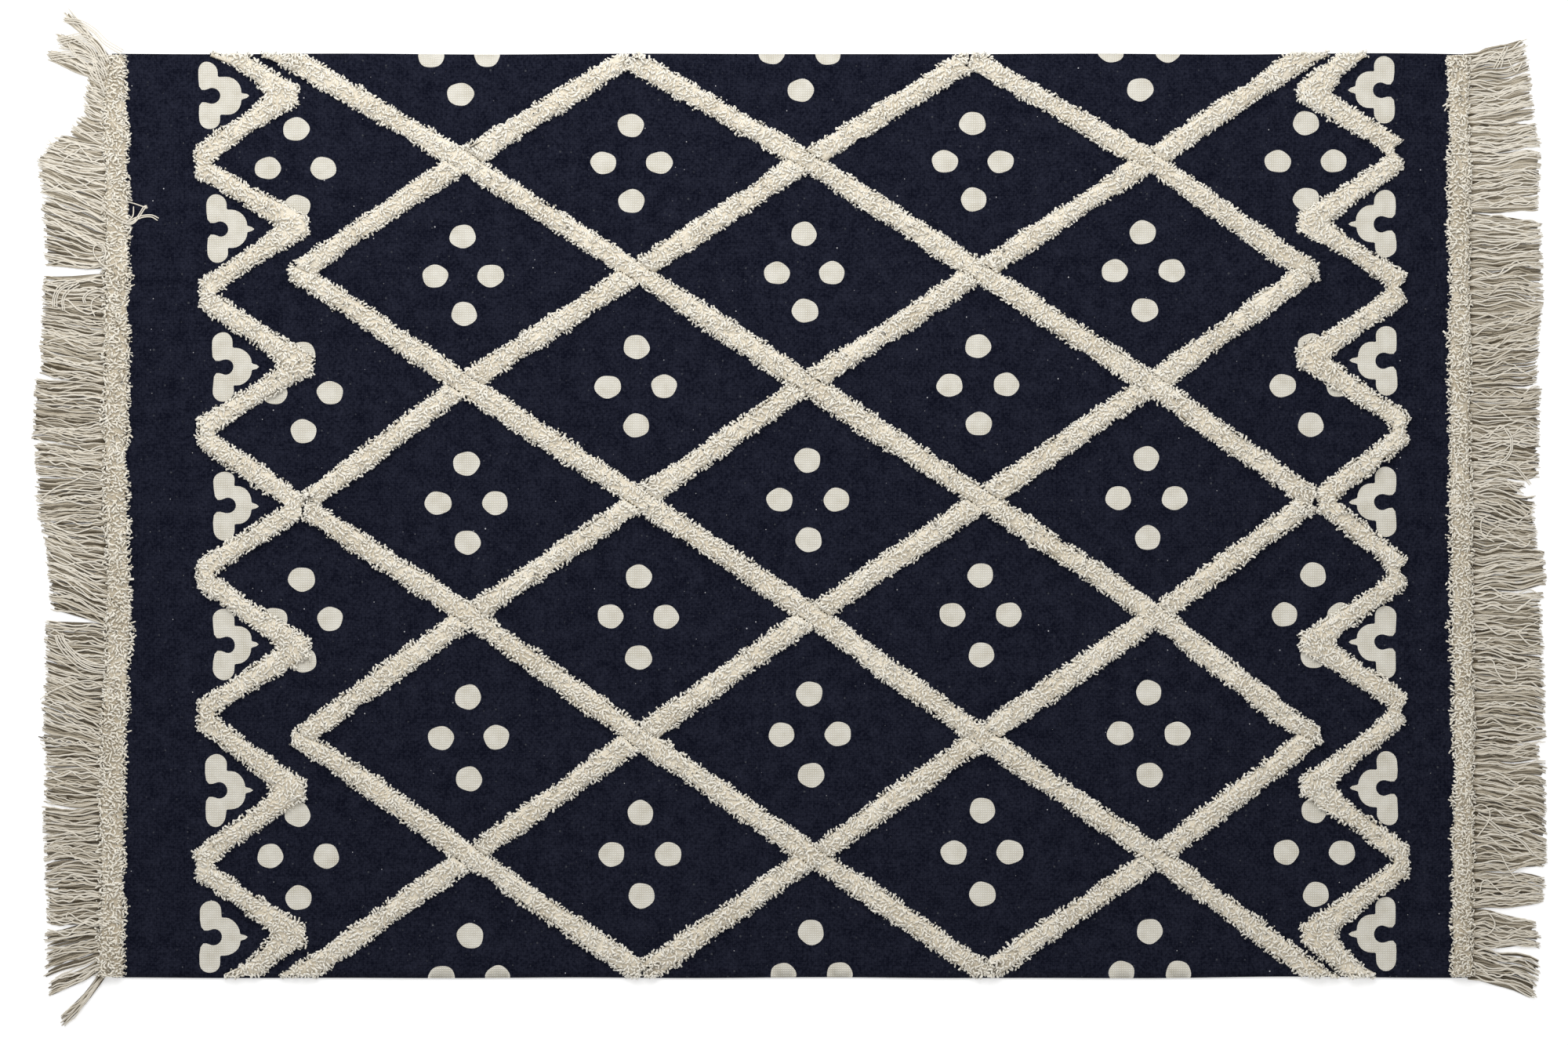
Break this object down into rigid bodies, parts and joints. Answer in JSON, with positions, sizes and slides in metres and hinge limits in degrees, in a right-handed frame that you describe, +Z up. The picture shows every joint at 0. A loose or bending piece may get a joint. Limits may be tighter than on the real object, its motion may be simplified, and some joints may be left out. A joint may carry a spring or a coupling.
{
  "type": "flat cotton rug with tufted lattice and fringed ends",
  "caption": "Flat rectangular cotton floor rug with a raised diamond lattice, zigzag borders and end bands of cut pile, a printed dark ground and yarn fringes at both ends.",
  "frame": {"origin": "middle of the rug's bounding box, on the underside that lies on the floor", "axes": "+X along the rug from one fringe to the other, +Y across it, +Z up"},
  "size_m": [1.9374, 1.2761, 0.0126],
  "materials": {
    "printed_cloth": "matt plain woven cotton, near-black blue print on cream with bare dots and three-lobed ornaments",
    "lattice_pile": "short cut cotton pile, cream, matt",
    "border_pile": "short cut cotton pile, cream, matt",
    "band_pile": "short cut cotton pile, cream, matt",
    "fringe_yarn": "loose twisted cotton yarn, cream, matt"
  },
  "bodies": {
    "root": {"ground_cloth": "printed_cloth", "pile_falling_1": "lattice_pile", "pile_falling_2": "lattice_pile", "pile_falling_3": "lattice_pile", "pile_falling_4": "lattice_pile", "pile_falling_5": "lattice_pile", "pile_falling_6": "lattice_pile", "pile_rising_1_1": "lattice_pile", "pile_rising_1_3": "lattice_pile", "pile_rising_1_5": "lattice_pile", "pile_rising_2_0": "lattice_pile", "pile_rising_2_2": "lattice_pile", "pile_rising_2_4": "lattice_pile", "pile_rising_3_1": "lattice_pile", "pile_rising_3_3": "lattice_pile", "pile_rising_3_5": "lattice_pile", "pile_rising_4_0": "lattice_pile", "pile_rising_4_2": "lattice_pile", "pile_rising_4_4": "lattice_pile", "pile_rising_5_1": "lattice_pile", "pile_rising_5_3": "lattice_pile", "pile_rising_5_5": "lattice_pile", "pile_rising_6_0": "lattice_pile", "pile_rising_6_2": "lattice_pile", "pile_rising_6_4": "lattice_pile", "pile_rising_7_1": "lattice_pile", "pile_rising_7_3": "lattice_pile", "pile_rising_7_5": "lattice_pile", "pile_rising_8_0": "lattice_pile", "pile_rising_8_2": "lattice_pile", "pile_rising_8_4": "lattice_pile", "pile_zigzag_left": "border_pile", "pile_zigzag_right": "border_pile", "pile_band_left": "band_pile", "pile_band_right": "band_pile", "fringe_left": "fringe_yarn", "fringe_right": "fringe_yarn"}
  },
  "joints": []
}
